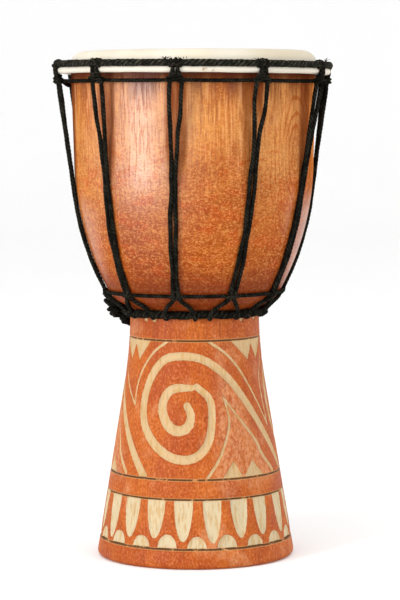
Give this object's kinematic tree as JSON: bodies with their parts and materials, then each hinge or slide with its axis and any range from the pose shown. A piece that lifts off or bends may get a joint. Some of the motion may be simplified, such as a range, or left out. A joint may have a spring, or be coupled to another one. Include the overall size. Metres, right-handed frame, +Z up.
{
  "type": "rope-tuned goblet drum",
  "caption": "Rope-tuned goblet drum with a hollow carved wooden shell, a goatskin head and black rope lacing between crown and waist hoops.",
  "frame": {"origin": "centre of the foot's resting face, on the floor", "axes": "+Z up along the drum's axis to the playing surface, -Y the front with the carved spiral, +X to the right seen from the front"},
  "size_m": [0.224, 0.226, 0.4],
  "materials": {
    "carved_wood": "varnished bowl, matt stained and carved foot",
    "goatskin": "scraped rawhide, satin",
    "rope": "twisted black synthetic cord",
    "steel_rod": "plain drawn steel"
  },
  "bodies": {
    "root": {"shell": "carved_wood", "drumhead": "goatskin", "flesh_hoop": "steel_rod", "crown_hoop": "steel_rod", "crown_hoop_wrap": "rope", "bottom_hoop": "steel_rod", "bottom_hoop_wrap": "rope", "upper_tie_cord": "rope", "lower_tie_cord": "rope", "spare_rope": "rope", "lacing_pair_01": "rope", "lacing_pair_02": "rope", "lacing_pair_03": "rope", "lacing_pair_04": "rope", "lacing_pair_05": "rope", "lacing_pair_06": "rope", "lacing_pair_07": "rope", "lacing_pair_08": "rope", "lacing_pair_09": "rope", "lacing_pair_10": "rope"}
  },
  "joints": []
}
